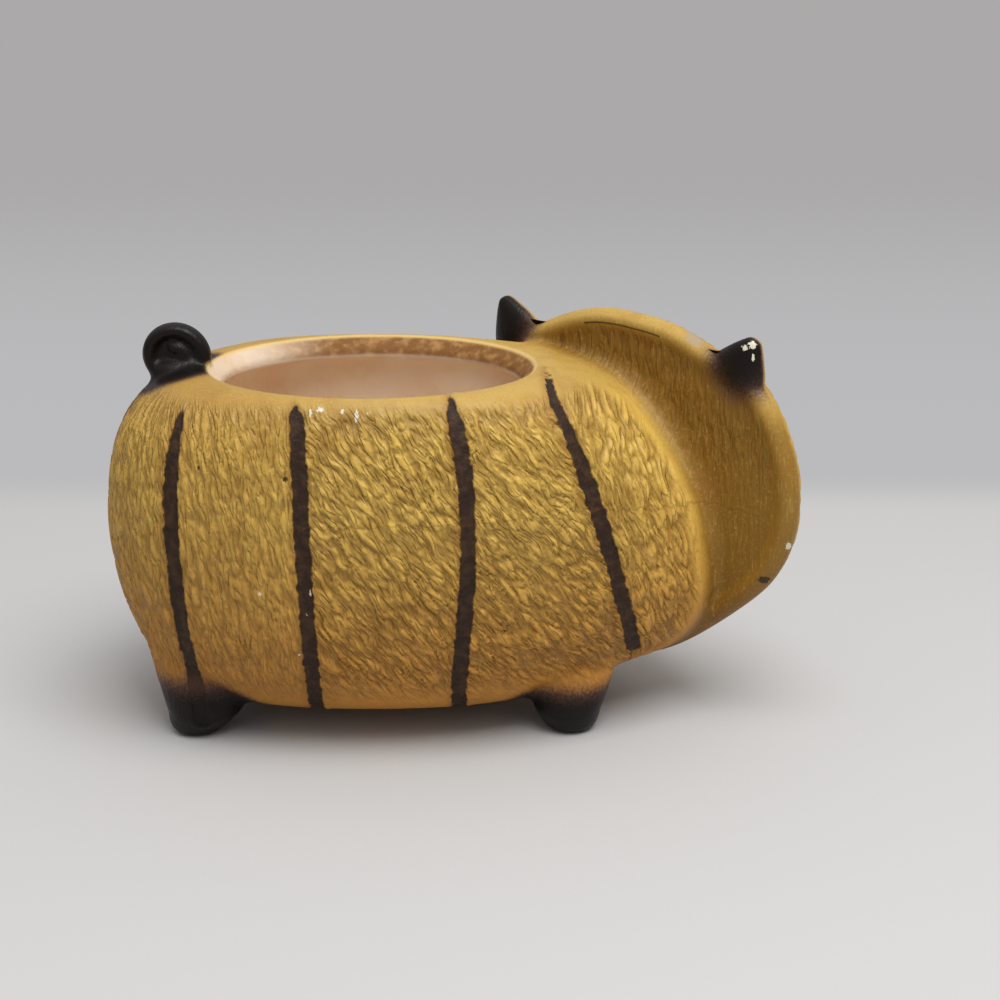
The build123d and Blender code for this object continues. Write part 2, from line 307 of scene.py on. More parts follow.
def field_at(points):
    """The clay's field in the grid cell nearest each point."""
    cells = np.rint(points / VOXEL).astype(int) - GRID_LOW
    return clay_field[tuple(np.clip(cells, 0, np.array(GRID_SHAPE) - 1).T)]


def inside_mask():
    """1 on the pot's inside and its lip, 0 on the glazed outside."""
    lip = smooth(MOUTH_REACH, *LIP_EDGE_SHARES) * (Z > RIM_HEIGHT - LIP_DROP) * (Z < RIM_HEIGHT + LIP_RISE)
    to_middle = np.stack([-X, -Y, RIM_HEIGHT / 2 - Z], axis=1)
    to_middle /= np.linalg.norm(to_middle, axis=1, keepdims=True)
    hollow = (FORWARD < JOINT) & (Z > FOOT_HEIGHT + HOLLOW_RISE) & (Z < RIM_HEIGHT - HOLLOW_DROP)
    for step in INSIDE_PROBES:
        hollow &= field_at(skin_points + step * to_middle) > 0
    return np.maximum(lip, hollow)


MOUTH_REACH = mouth_reach()
INSIDE = inside_mask()
OUTSIDE = 1 - INSIDE

# How far each stripe runs on below its groove and above it, how long its tip takes to reach full width, and
# how far from the body's middle its flank starts
STRIPE_RUN = 7.0
STRIPE_RUNS = {"right_1": 16.0, "left_1": 16.0, "right_4": 4.0}
STRIPE_RISES = {"right_2": 2.0, "right_3": 3.5, "right_4": 4.0}
STRIPE_TIP = 3.0
STRIPE_TIPS = {"right_1": 20.0, "left_1": 20.0, "right_3": 8.0, "right_4": 34.0}
TIP_SHARE = 0.35
STRIPE_FLANK = 4.0
LINE_DEGREE = 4


def stripe_table():
    """Each stripe's short name, centre line, lower and upper end, and side of the body."""
    table = []
    for name in STRIPES:
        points = node_points(name) - MOUTH
        line = np.polyfit(points[:, 2], points[:, 0], LINE_DEGREE)
        side = np.sign(points[:, 1].mean())
        table.append((name.removeprefix("stripe_"), line, points[:, 2].min(), points[:, 2].max(), side))
    return table


STRIPE_TABLE = stripe_table()


def stripe_fields():
    """The distance outside the edge of the nearest stripe, and the offset across that stripe."""
    edge = np.full(len(X), FAR)
    offset = np.full(len(X), FAR)
    for name, line, low, high, side in STRIPE_TABLE:
        height = np.clip(Z, low, high)
        high = high + STRIPE_RISES.get(name, 0)
        slope = np.polyval(np.polyder(line), height)
        across = (X - np.polyval(line, height) - slope * (Z - height)) / np.hypot(1, slope)
        beyond = np.maximum(np.maximum(Z - high, low - STRIPE_RUNS.get(name, STRIPE_RUN) - Z), 0)
        share = np.clip((high - Z) / STRIPE_TIPS.get(name, STRIPE_TIP), 0, 1)
        half = STRIPE_WIDTH / 2 * (TIP_SHARE + (1 - TIP_SHARE) * np.sqrt(share))
        distance = np.hypot(across, beyond) - half
        distance[(Y * side < STRIPE_FLANK) | (OUTSIDE < 0.5)] = FAR
        nearer = distance < edge
        edge = np.where(nearer, distance, edge)
        offset = np.where(nearer, across, offset)
    return edge, offset


STRIPE_EDGE, STRIPE_OFFSET = stripe_fields()

# The modelled fur: strokes with a heading down from level, a width, a length and a strength
FURS = {
    "rear": (80, 2.4, 10, 0.75),
    "middle": (58, 2.6, 10, 1.0),
    "shoulder": (52, 2.4, 9.5, 1.0),
    "neck": (70, 2.3, 11, 1.0),
    "head": (92, 2.6, 13, 0.65),
    "face": (90, 2.5, 13, 0.4),
}
REAR_START = 50.0
REAR_RADIUS = 45.0
# How far the strokes sway, and the scales across and along them of the sway, the short grooves and the swell
SWAY_SHARE = 0.35
SWAY_SCALES = (0.35, 1.3)
SHORT_GROOVE_SCALES = (1.13, 1.2)
SWELL_SCALES = (0.4, 0.8)
# How far the long grooves wander, how shallow the short ones stay, how steep both are, and the swell's part
LONG_GROOVE_SHARE = 0.12
SHORT_GROOVE_SHARE = 0.10
GROOVE_GAIN = 2.6
SWELL_SHARE = 0.1
SWAY_SEED, LONG_SEED, SHORT_SEED, SWELL_SEED = 2, 1, 3, 4


def around_body():
    """A length round the body: x on the right flank, then round the rump and back along the left flank."""
    angle = np.arctan2(-(X + REAR_START), -Y)
    rump = -REAR_START - REAR_RADIUS * angle
    left = -REAR_START - REAR_RADIUS * math.pi - (X + REAR_START)
    return np.where(X < -REAR_START, rump, np.where(Y < 0, X, left))


def fur_regions():
    """The name of the fur at each point."""
    behind = {}
    for name, line, low, high, _ in STRIPE_TABLE:
        behind[name] = X < np.polyval(line, np.clip(Z, low, high))
    right = np.select(
        [behind["right_2"], behind["right_3"], behind["right_4"]], ["rear", "middle", "shoulder"], "neck")
    left = np.select([behind["left_2"], behind["left_3"]], ["rear", "middle"], "shoulder")
    body = np.where(X < -REAR_START, "rear", np.where(Y < 0, right, left))
    return np.where(FACED > 0.5, "face", np.where(HEADED > 0.5, "head", body))


def scaled_waves(side, along, scales, seed):
    return waves(side * scales[0], along * scales[1], seed)


def stroke_places():
    """Each point's place across and along the strokes, in their widths and lengths, and their strength."""
    names, index = np.unique(fur_regions(), return_inverse=True)
    heading, width, length, strength = np.array([FURS[name] for name in names]).T[:, index]
    turn = np.radians(heading)
    across = np.where(HEADED > 0.5, ACROSS, around_body())
    side = (across * np.sin(turn) + Z * np.cos(turn)) / width
    along = (across * np.cos(turn) - Z * np.sin(turn)) / length
    return side + SWAY_SHARE * scaled_waves(side, along, SWAY_SCALES, SWAY_SEED), along, strength


# Where the fur fades in: below the rim, above the feet, beside the neck's middle, off level clay, up the head
# and in from its rim. The valley's widths are in front of the neck's joint and behind it.
FUR_RIM_FADE = (1.0, 6.0)
FUR_FOOT_FADE = (0.0, 22.0)
FUR_NECK_FADE = (2.0, 14.0)
FUR_LEVEL_SHARES = (0.97, 0.82)
FUR_HEAD_FADE = (75.0, 105.0)
FUR_HEAD_LOW_SHARE = 0.25
FUR_INSET_FADE = (4.0, 8.0)
VALLEY_FRONT = 2.5
VALLEY_BACK = 5.0


def fur_fade():
    """The share of the fur's strength that is left at each point."""
    body = smooth(RIM_HEIGHT - Z, *FUR_RIM_FADE) * smooth(Z - FOOT_HEIGHT, *FUR_FOOT_FADE)
    body *= np.where(X > 0, smooth(np.abs(Y), *FUR_NECK_FADE), 1)
    body *= smooth(skin_normals[:, 2], *FUR_LEVEL_SHARES)
    head = FUR_HEAD_LOW_SHARE + (1 - FUR_HEAD_LOW_SHARE) * smooth(Z, *FUR_HEAD_FADE)
    head *= smooth(RIM_INSET, *FUR_INSET_FADE)
    valley = 1 - ridge(FORWARD, JOINT, np.where(FORWARD > JOINT, VALLEY_FRONT, VALLEY_BACK))
    fade = np.where(FACED > 0.5, 1, np.where(HEADED > 0.5, head, body))
    return fade * valley * OUTSIDE * (1 - SPRAY)


def fur():
    """The height of the fur, from 0 in the deepest grooves to 1."""
    long_grooves = np.abs(waves(STROKE_SIDE, STROKE_ALONG, LONG_SEED) + LONG_GROOVE_SHARE)
    short_grooves = np.abs(scaled_waves(STROKE_SIDE, STROKE_ALONG, SHORT_GROOVE_SCALES, SHORT_SEED))
    grooves = np.minimum(long_grooves, short_grooves + SHORT_GROOVE_SHARE)
    swell = scaled_waves(STROKE_SIDE, STROKE_ALONG, SWELL_SCALES, SWELL_SEED)
    height = np.clip(GROOVE_GAIN * grooves, 0, 1) * (1 - SWELL_SHARE + SWELL_SHARE * swell)
    return 1 - FUR_STRENGTH * (1 - height)


# How flat the head's seam is, the share of the outline's radius that counts as its edge, and the angle, in
# radians, within which that radius is the largest
SEAM_FLATNESS = 0.05
OUTLINE_SHARE = 0.95
OUTLINE_WINDOW = 0.15


def rim_inset():
    """How far a point is inside the outline of the head, seen from behind."""
    points = node_points("face_mask")
    points = points[points @ LOOKS < SEAM + SEAM_FLATNESS]
    middle = (CHIN + CROWN) / 2
    across = points @ FACE_LEFT - HEAD_MIDDLE
    angles = np.arctan2(points[:, 2] - middle, across)
    radii = np.hypot(points[:, 2] - middle, across)
    largest = np.array([radii[np.abs(angles - angle) < OUTLINE_WINDOW].max() for angle in angles])
    outer = radii > OUTLINE_SHARE * largest
    order = np.argsort(angles[outer])
    angle = np.arctan2(Z - middle, ACROSS)
    outline = np.interp(angle, angles[outer][order], radii[outer][order], period=2 * math.pi)
    return outline - np.hypot(Z - middle, ACROSS)


# The back of the head: how much it faces backward, and how far it starts in front of the joint
BACK_SHARES = (0.35, 0.8)
BACK_START = 2.0
RIM_INSET = rim_inset()
BACK_FACING = smooth(BACKWARD, *BACK_SHARES) * smooth(FORWARD, JOINT, JOINT + BACK_START) * (1 - FACED)


def segment_distance(points, start, end):
    """The distance of points from a straight line between two ends."""
    way = end - start
    share = np.clip((points - start) @ way / (way @ way), 0, 1)
    return np.linalg.norm(points - start - share[:, None] * way, axis=1)


def ear_line(name):
    """An ear's root and tip."""
    points = node_points(name)
    return points.mean(axis=0), points[points[:, 2].argmax()]


# The airbrushed dark, from none to full: distances from the tail, a foot's middle and an ear, tops at the
# feet, and the trace on the rump across it, back along it and up it
TAIL_SPRAY = (27.0, 12.0)
FOOT_SPRAY = (27.0, 13.0)
EAR_SPRAY = (23.0, 1.0)
REAR_SPRAY_TOP = 33.0
FRONT_SPRAY_TOP = 26.0
FULL_SPRAY_SHARE = 0.25
RUMP_SPRAY_ACROSS = (26.0, 4.0)
RUMP_SPRAY_BACK = (-55.0, -80.0)
RUMP_SPRAY_UP = (45.0, 110.0)
RUMP_SHARE = 0.5
EAR_BACK_SHARES = (-0.2, 0.5)
EAR_EDGE_SHARE = 0.35
EAR_FRONT_SHARE = 0.85


def airbrush():
    """Where dark colour is sprayed on: the feet, the tail, the ears and a trace down the rump."""
    tail = smooth(np.linalg.norm(skin_points - TAIL, axis=1), *TAIL_SPRAY)
    rump = smooth(np.abs(Y), *RUMP_SPRAY_ACROSS) * smooth(X, *RUMP_SPRAY_BACK) * smooth(Z, *RUMP_SPRAY_UP)
    spray = np.maximum(tail, RUMP_SHARE * rump)
    for name in FEET:
        away = np.linalg.norm((skin_points - node_middle(name))[:, :2], axis=1)
        top = REAR_SPRAY_TOP if "rear" in name else FRONT_SPRAY_TOP
        spray = np.maximum(spray, smooth(Z, top, FULL_SPRAY_SHARE * top) * smooth(away, *FOOT_SPRAY))
    backs = EAR_EDGE_SHARE + (1 - EAR_EDGE_SHARE) * smooth(BACKWARD, *EAR_BACK_SHARES)
    for name in EARS:
        ear = smooth(segment_distance(skin_points, *ear_line(name)), *EAR_SPRAY)
        spray = np.maximum(spray, ear * (1 - EAR_FRONT_SHARE * FACED) * backs)
    return spray * OUTSIDE


SPRAY = airbrush()

# Marks on the face, as places across it and up from its chin: the brow's stripes, the cheeks' stripes and
# the line of the mouth. Each row has its points and its half-width, and the other side mirrors it.
FACE_MARKS = [
    ([(0, 118), (0, 96)], 1.9),
    ([(13, 117), (10, 99)], 1.6),
    ([(25, 111), (20, 97)], 1.3),
    ([(56, 78), (40, 74)], 1.6),
    ([(57, 66), (43, 64)], 1.5),
    ([(50, 53), (40, 53)], 1.3),
    ([(0, 47), (0, 33)], 0.8),
    ([(0, 33), (7, 27), (16, 26), (22, 30)], 0.8),
]
WHISKER_DOTS = [(9, 40), (14, 42), (12, 35), (18, 37)]
WHISKER_RADIUS = 0.9
FACE_MARK_START = 4.0


def face_mark_edge():
    """The distance outside the edge of the nearest mark on the face."""
    places = np.stack([np.abs(ACROSS), Z - CHIN], axis=1)
    edge = np.full(len(X), FAR)
    for points, half in FACE_MARKS:
        for start, end in zip(points, points[1:]):
            edge = np.minimum(edge, segment_distance(places, np.array(start), np.array(end)) - half)
    for dot in WHISKER_DOTS:
        edge = np.minimum(edge, np.linalg.norm(places - dot, axis=1) - WHISKER_RADIUS)
    return np.where(FORWARD > SEAM + FACE_MARK_START, edge, FAR)


PAINT_EDGE = np.minimum(STRIPE_EDGE, face_mark_edge())
STROKE_SIDE, STROKE_ALONG, STROKE_STRENGTH = stroke_places()
FUR_STRENGTH = STROKE_STRENGTH * fur_fade()
FUR = fur()

# Carved edges of the painted marks, the raised lip beside a stripe, the dish in from the head's rim, and the
# rings and brows round the eyes as shares of an eye's reach: their middle and their width
CARVED_EDGE = (0.5, -0.7)
STRIPE_LIP_MIDDLE = 0.9
STRIPE_LIP_WIDTH = 0.7
REAR_LIP_SHARE = 0.3
DISH_INSET = (3.5, 9.0)
EYE_RING_SHARES = (1.15, 0.16)
BROW_SHARES = (1.75, 0.3)
BROW_FADE = (88.0, 98.0)


def eye_reach(name):
    """How far a point of the face is from an eye's middle, where 1 is the eye's edge."""
    low, high = node_box(name)
    middle = node_middle(name)
    half_height = (high[2] - low[2]) / 2
    span = node_points(name) @ FACE_LEFT
    across = (skin_points - middle) @ FACE_LEFT / ((span.max() - span.min()) / 2)
    return np.hypot(across, (skin_points[:, 2] - middle[2]) / half_height) + FAR * (1 - FACED)


def relief():
    """How far each point of the skin moves out along its normal."""
    carved = smooth(PAINT_EDGE, *CARVED_EDGE)
    moved = -FUR_DEPTH * (1 - FUR) * (1 - carved) - STRIPE_DEPTH * carved
    lip = ridge(STRIPE_EDGE, STRIPE_LIP_MIDDLE, STRIPE_LIP_WIDTH)
    moved += STRIPE_LIP * lip * np.where(STRIPE_OFFSET > 0, 1, REAR_LIP_SHARE)
    moved -= DISH_DEPTH * smooth(RIM_INSET, *DISH_INSET) * BACK_FACING
    for name in EYES:
        reach = eye_reach(name)
        moved += EYE_RING_HEIGHT * ridge(reach, *EYE_RING_SHARES)
        moved += BROW_HEIGHT * ridge(reach, *BROW_SHARES) * smooth(Z, *BROW_FADE)
    return moved


skin_points = skin_points + skin_normals * relief()[:, None]
skin_normals = corner_normals(skin_points, skin_quads)

# Age marks on the side in the photo, as places along x and up z from the floor under the mouth's middle.
# Each spot has its place, its half-width and its half-height.
CRACK = [(-19, 82), (34, 82.7), (53, 83.2), (72, 83.2), (89, 80), (107, 76.5), (128, 75)]
CHIPS = [
    (125, 132, 1.3, 1.1),
    (122.5, 130.8, 1.0, 0.8),
    (125.2, 128, 0.4, 1.0),
    (138, 66.5, 1.0, 1.5),
    (-16, 117.3, 0.6, 0.8),
    (-13, 118.2, 0.9, 0.6),
    (-6, 118, 0.5, 0.6),
    (-1.5, 116.5, 0.6, 1.7),
    (2, 117.3, 0.4, 0.4),
    (-17, 60, 0.5, 1.1),
    (-18.5, 52.6, 0.5, 0.4),
    (-33, 59.3, 0.5, 0.8),
    (-21.5, 37.7, 0.5, 0.4),
]
SPECKS = [(-24, 97.4, 0.9, 0.9), (131, 53.5, 1.9, 1.5), (-52, 99, 0.6, 0.8)]
SCUFFS = [(108, 131, 3.2, 2.6)]
# The spots stay on the near side and behind the face. The painted shade line under the crown's rolled rim has
# its ends along x, its way in from the rim, and its room in front of the joint and past the head's seam.
SPOT_SIDE = 10.0
SPOT_FRONT = 3.0
CROWN_SHADE_SPAN = (72, 97)
CROWN_SHADE_INSET = 4.4
CROWN_SHADE_BACK = 1.0
CROWN_SHADE_FRONT = 2.0


def spot_edge(spots):
    """The distance outside the edge of the nearest of some oval spots on the near side."""
    edge = np.full(len(X), FAR)
    for x, z, half_width, half_height in spots:
        size = math.sqrt(half_width * half_height)
        edge = np.minimum(edge, (np.hypot((X - x) / half_width, (Z - z) / half_height) - 1) * size)
    return np.where((Y < SPOT_SIDE) & (OUTSIDE > 0.5) & (FORWARD < SEAM + SPOT_FRONT), edge, FAR)


def crack_offset():
    """The height above the hairline crack along the near side."""
    along, up = np.array(CRACK).T
    near = (X > along[0]) & (X < along[-1]) & (Y < 0) & (OUTSIDE > 0.5) & (FORWARD < SEAM)
    return np.where(near, Z - np.interp(X, along, up), FAR)


def crown_shade_offset():
    """The distance from the painted shade line in the crease under the crown's rolled rim."""
    near = (X > CROWN_SHADE_SPAN[0]) & (X < CROWN_SHADE_SPAN[1]) & (Z > RIM_HEIGHT)
    near &= (FORWARD > JOINT + CROWN_SHADE_BACK) & (FORWARD < SEAM + CROWN_SHADE_FRONT)
    return np.where(near, RIM_INSET - CROWN_SHADE_INSET, FAR)


# The trace beside the stripes, and the darker back of the head: its rim below the mouth's height, and its
# middle in from the rim
HALO_WIDTH = 2.8
FRONT_HALO_SHARE = 0.25
HEAD_RIM_SHARE = 0.9
HEAD_RIM_FADE = (-2.0, 18.0)
HEAD_TONE_INSET = (1.0, 9.0)


def halo():
    """A soft trace of the stripes' colour on their rear edges."""
    return smooth(STRIPE_EDGE, HALO_WIDTH, 0) * np.where(STRIPE_OFFSET < 0, 1, FRONT_HALO_SHARE)


def head_tone():
    """How much darker the back of the head is: less on its rim, and least on the crown."""
    rim = HEAD_RIM_SHARE * smooth(RIM_HEIGHT - Z, *HEAD_RIM_FADE)
    return HEADED * (1 - FACED) * np.maximum(smooth(RIM_INSET, *HEAD_TONE_INSET), rim)


# The brown lip's drop from the rim, and its paler rear end. The painted highlight along the mouth's edge, as
# a share of the mouth and near the rim's height. The pale oval round the muzzle.
LIP_BROWN_DROP = (7.5, 5.5)
LIP_BROWN_START = (-48.0, -15.0)
LIP_PALE_SHARE = 0.3
RIM_HIGHLIGHT_WIDTH = 0.012
RIM_HIGHLIGHT_FADE = (2.0, 0.5)
MUZZLE_RISE = 36.0
MUZZLE_HALF_WIDTH = 26.0
MUZZLE_HALF_HEIGHT = 17.0
MUZZLE_EDGE_SHARES = (1.1, 0.75)


def brown_lip():
    """How brown the inside's lip is: pale at the rear end of the mouth."""
    along = LIP_PALE_SHARE + (1 - LIP_PALE_SHARE) * smooth(X, *LIP_BROWN_START)
    return INSIDE * smooth(RIM_HEIGHT - Z, *LIP_BROWN_DROP) * along


def rim_highlight():
    """A painted highlight along the mouth's upper edge."""
    return ridge(MOUTH_REACH, 1, RIM_HIGHLIGHT_WIDTH) * smooth(np.abs(Z - RIM_HEIGHT), *RIM_HIGHLIGHT_FADE)


def muzzle_patch():
    """The pale oval on the face round the muzzle."""
    reach = np.hypot(ACROSS / MUZZLE_HALF_WIDTH, (Z - CHIN - MUZZLE_RISE) / MUZZLE_HALF_HEIGHT)
    return smooth(reach, *MUZZLE_EDGE_SHARES) * FACED


LAYERS = {
    "fur": FUR,
    "fur_strength": FUR_STRENGTH,
    "stroke_side": STROKE_SIDE,
    "stroke_along": STROKE_ALONG,
    "spray": SPRAY,
    "inside": INSIDE,
    "lip": brown_lip(),
    "rim_highlight": rim_highlight(),
    "paint_edge": PAINT_EDGE,
    "halo": halo(),
    "head_tone": head_tone(),
    "muzzle": muzzle_patch(),
    "chip": spot_edge(CHIPS),
    "speck": spot_edge(SPECKS),
    "scuff": spot_edge(SCUFFS),
    "crack": crack_offset(),
    "crown_shade": crown_shade_offset(),
}


# The skin is cut into the planter's pieces. Each cut has the piece's name, a point and a normal of the cut's
# plane, and the middle and the reach of the piece where only a part of the plane cuts.
EAR_CUT_SHARE = 0.4
EAR_REACH = 16.0
FOOT_REACH = 24.0
TAIL_REACH = 26.0
TAIL_DROP = 1.0
TAIL_PITCH = math.radians(15)
# How far from a plane and past a piece's reach faces are split, and how near a point counts as on a plane
CUT_BAND = 4 * VOXEL
CUT_MARGIN = 6.0
SPLIT_TOLERANCE = 1e-7
CUT_TOLERANCE = 0.01 * MM


def ear_cut(name):
    """The plane between an ear and the head."""
    root, tip = ear_line(name)
    way = tip - root - ((tip - root) @ LOOKS) * LOOKS
    return root + EAR_CUT_SHARE * (tip - root), way / np.linalg.norm(way)


def cuts():
    """The table of cuts, where a later cut takes faces from an earlier one."""
    table = [
        ("head_back", LOOKS * JOINT, LOOKS, None, 0),
        ("face", LOOKS * SEAM, LOOKS, None, 0),
    ]
    tail_way = np.array([-math.sin(TAIL_PITCH), 0, math.cos(TAIL_PITCH)])
    tail_root = np.array([TAIL[0], TAIL[1], RIM_HEIGHT - TAIL_DROP])
    table.append(("tail_curl", tail_root, tail_way, TAIL, TAIL_REACH))
    for name in EARS:
        table.append((name, *ear_cut(name), node_middle(name), EAR_REACH))
    for name in FEET:
        table.append((name, node_box(name)[1], np.array([0, 0, -1.0]), node_middle(name), FOOT_REACH))
    return table


CUTS = cuts()


def belongs(points, cut):
    """Whether points are on the piece's side of its cut, and near enough to it."""
    _, place, way, middle, reach = cut
    beyond = (points - place) @ way > 0
    if middle is None:
        return beyond
    return beyond & (np.linalg.norm(points - middle, axis=1) < reach)


def add_layer(mesh, name, values):
    mesh.attributes.new(name, "FLOAT", "POINT").data.foreach_set("value", values.astype(np.float32))


def layer_values(mesh, name):
    values = np.empty(len(mesh.vertices), dtype=np.float32)
    mesh.attributes[name].data.foreach_get("value", values)
    return values


def skin_mesh():
    """The whole skin with its layers and its normals."""
    mesh = bpy.data.meshes.new("skin")
    mesh.from_pydata((skin_points * MM).tolist(), [], skin_quads.tolist())
    for name, values in LAYERS.items():
        add_layer(mesh, name, values)
    for axis, values in zip("xyz", skin_normals.T):
        add_layer(mesh, "normal_" + axis, values)
    return mesh


def face_middles(work):
    return np.array([face.calc_center_median() for face in work.faces]) / MM


def split_faces(work, cut):
    """Splits the faces along a cut's plane."""
    _, place, way, middle, reach = cut
    middles = face_middles(work)
    near = np.abs((middles - place) @ way) < CUT_BAND
    if middle is not None:
        near &= np.linalg.norm(middles - middle, axis=1) < reach + CUT_MARGIN
    work.faces.ensure_lookup_table()
    faces = [work.faces[i] for i in np.flatnonzero(near)]
    edges = {edge for face in faces for edge in face.edges}
    corners = {corner for face in faces for corner in face.verts}
    bmesh.ops.bisect_plane(
        work, geom=[*faces, *edges, *corners], dist=SPLIT_TOLERANCE,
        plane_co=Vector(place * MM), plane_no=Vector(way))


def cut_skin():
    """One mesh of the skin, split along every cut, and the name of each face's piece."""
    mesh = skin_mesh()
    work = bmesh.new()
    work.from_mesh(mesh)
    for cut in CUTS:
        split_faces(work, cut)
    middles = face_middles(work)
    owners = np.full(len(middles), "body_shell", dtype=object)
    for cut in CUTS:
        owners[belongs(middles, cut)] = cut[0]
    work.to_mesh(mesh)
    work.free()
    return mesh, owners


def open_piece(name, mesh, faces):
    """A new mesh of some faces of the skin, with its layers, and the skin's normals at its points."""
    used = np.unique(np.concatenate(faces))
    places = np.full(len(mesh.vertices), -1)
    places[used] = np.arange(len(used))
    points = np.empty(len(mesh.vertices) * 3, dtype=np.float32)
    mesh.vertices.foreach_get("co", points)
    corners = [places[list(face)].tolist() for face in faces]
    piece = bpy.data.meshes.new(name)
    piece.from_pydata(points.reshape(-1, 3)[used].tolist(), [], corners)
    for layer in LAYERS:
        add_layer(piece, layer, layer_values(mesh, layer)[used])
    return piece, np.stack([layer_values(mesh, "normal_" + axis)[used] for axis in "xyz"], axis=1)


def on_cut(edge, cut):
    """Whether both ends of an edge are on a cut's plane."""
    _, place, way, _, _ = cut
    level = Vector(place * MM).dot(way)
    return all(abs(corner.co.dot(way) - level) < CUT_TOLERANCE for corner in edge.verts)


def close_cuts(piece):
    """Closes a piece with a flat cap on each plane where it was cut."""
    work = bmesh.new()
    work.from_mesh(piece)
    rims = [edge for edge in work.edges if edge.is_boundary]
    for cut in CUTS:
        flat = [rim for rim in rims if rim.is_boundary and on_cut(rim, cut)]
        bmesh.ops.triangle_fill(work, use_beauty=True, edges=flat)
    bmesh.ops.recalc_face_normals(work, faces=work.faces)
    for face in work.faces:
        face.smooth = True
    work.to_mesh(piece)
    work.free()


def closed_piece(name, mesh, chosen):
    """A closed mesh of the chosen faces of the skin."""
    faces = [tuple(face.vertices) for face, pick in zip(mesh.polygons, chosen) if pick]
    piece, normals = open_piece(name, mesh, faces)
    close_cuts(piece)
    set_normals(piece, normals, len(faces))
    return piece


def set_normals(piece, normals, skin_faces):
    """Shades a piece with the whole skin's normals, so that no cut shows, and its caps flat."""
    corners = np.empty(len(piece.loops), dtype=np.int32)
    piece.loops.foreach_get("vertex_index", corners)
    loop_normals = normals[corners]
    for face in piece.polygons[skin_faces:]:
        loop_normals[face.loop_start:face.loop_start + face.loop_total] = face.normal
    piece.normals_split_custom_set(loop_normals.tolist())


REPLACED = {"body_shell": STRIPES, "face": ("face_mask", "muzzle")}


def clay_pieces():
    """The pieces of the skin as objects on the planter's one body."""
    mesh, owners = cut_skin()
    pieces = []
    for name in np.unique(owners):
        piece = bpy.data.objects.new("clay_" + name, closed_piece(name, mesh, owners == name))
        bpy.context.scene.collection.objects.link(piece)
        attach(piece, "root")
        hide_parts(*[node for node in (name, *REPLACED.get(name, ())) if node in NODES])
        pieces.append(piece)
    bpy.data.meshes.remove(mesh)
    return pieces


def colour(digits):
    """A linear colour from six hex digits of red, green and blue, by the sRGB curve."""
    parts = [int(digits[i:i + 2], 16) / 255 for i in (0, 2, 4)]
    return (*[part / 12.92 if part < 0.04045 else ((part + 0.055) / 1.055) ** 2.4 for part in parts], 1)


# The colours of the glaze, the slip, the bare clay and the marks
HONEY = colour("b8954a")
MUSTARD = colour("d9b254")
OCHRE = colour("c98a36")
UMBER = colour("8d5c1e")
OLIVE = colour("876220")
STRAW = colour("e0bd6c")
# The groove brown paints shade in the fur's grooves. It also darkens the grain, the crack and the low back of
# the head.
GROOVE = colour("6a4310")
SLIP = colour("2c1a0c")
SLIP_WORN = colour("402a17")
PLUM = colour("54382c")
SOOT = colour("15100e")
BISQUE = colour("f4e0c8")
BISQUE_WARM = colour("eed3b3")
LIP_BROWN = colour("7c5224")
LIP_TAN = colour("a57b4a")
CREAM = colour("e3cfa4")
CHALK = colour("ded6c4")
ASH = colour("9c9082")
FLOOR_PALE = colour("bebdbc")
BACKDROP_LOW = colour("bbbbbd")
BACKDROP = colour("aba9a9")


# The noise's middle, and how far from it the middle line of a groove reaches
NOISE_MIDDLE = 0.5
GROOVE_REACH = 0.12


class Nodes:
    """A tree of shader nodes that are joined up by short calls."""

    def __init__(self, owner):
        owner.use_nodes = True
        self.tree = owner.node_tree

    def join(self, socket, value):
        if isinstance(value, bpy.types.NodeSocket):
            self.tree.links.new(value, socket)
        else:
            socket.default_value = value

    def put(self, kind, values, **settings):
        node = self.tree.nodes.new(kind)
        for name, setting in settings.items():
            setattr(node, name, setting)
        for key, value in values.items():
            self.join(node.inputs[key], value)
        return node


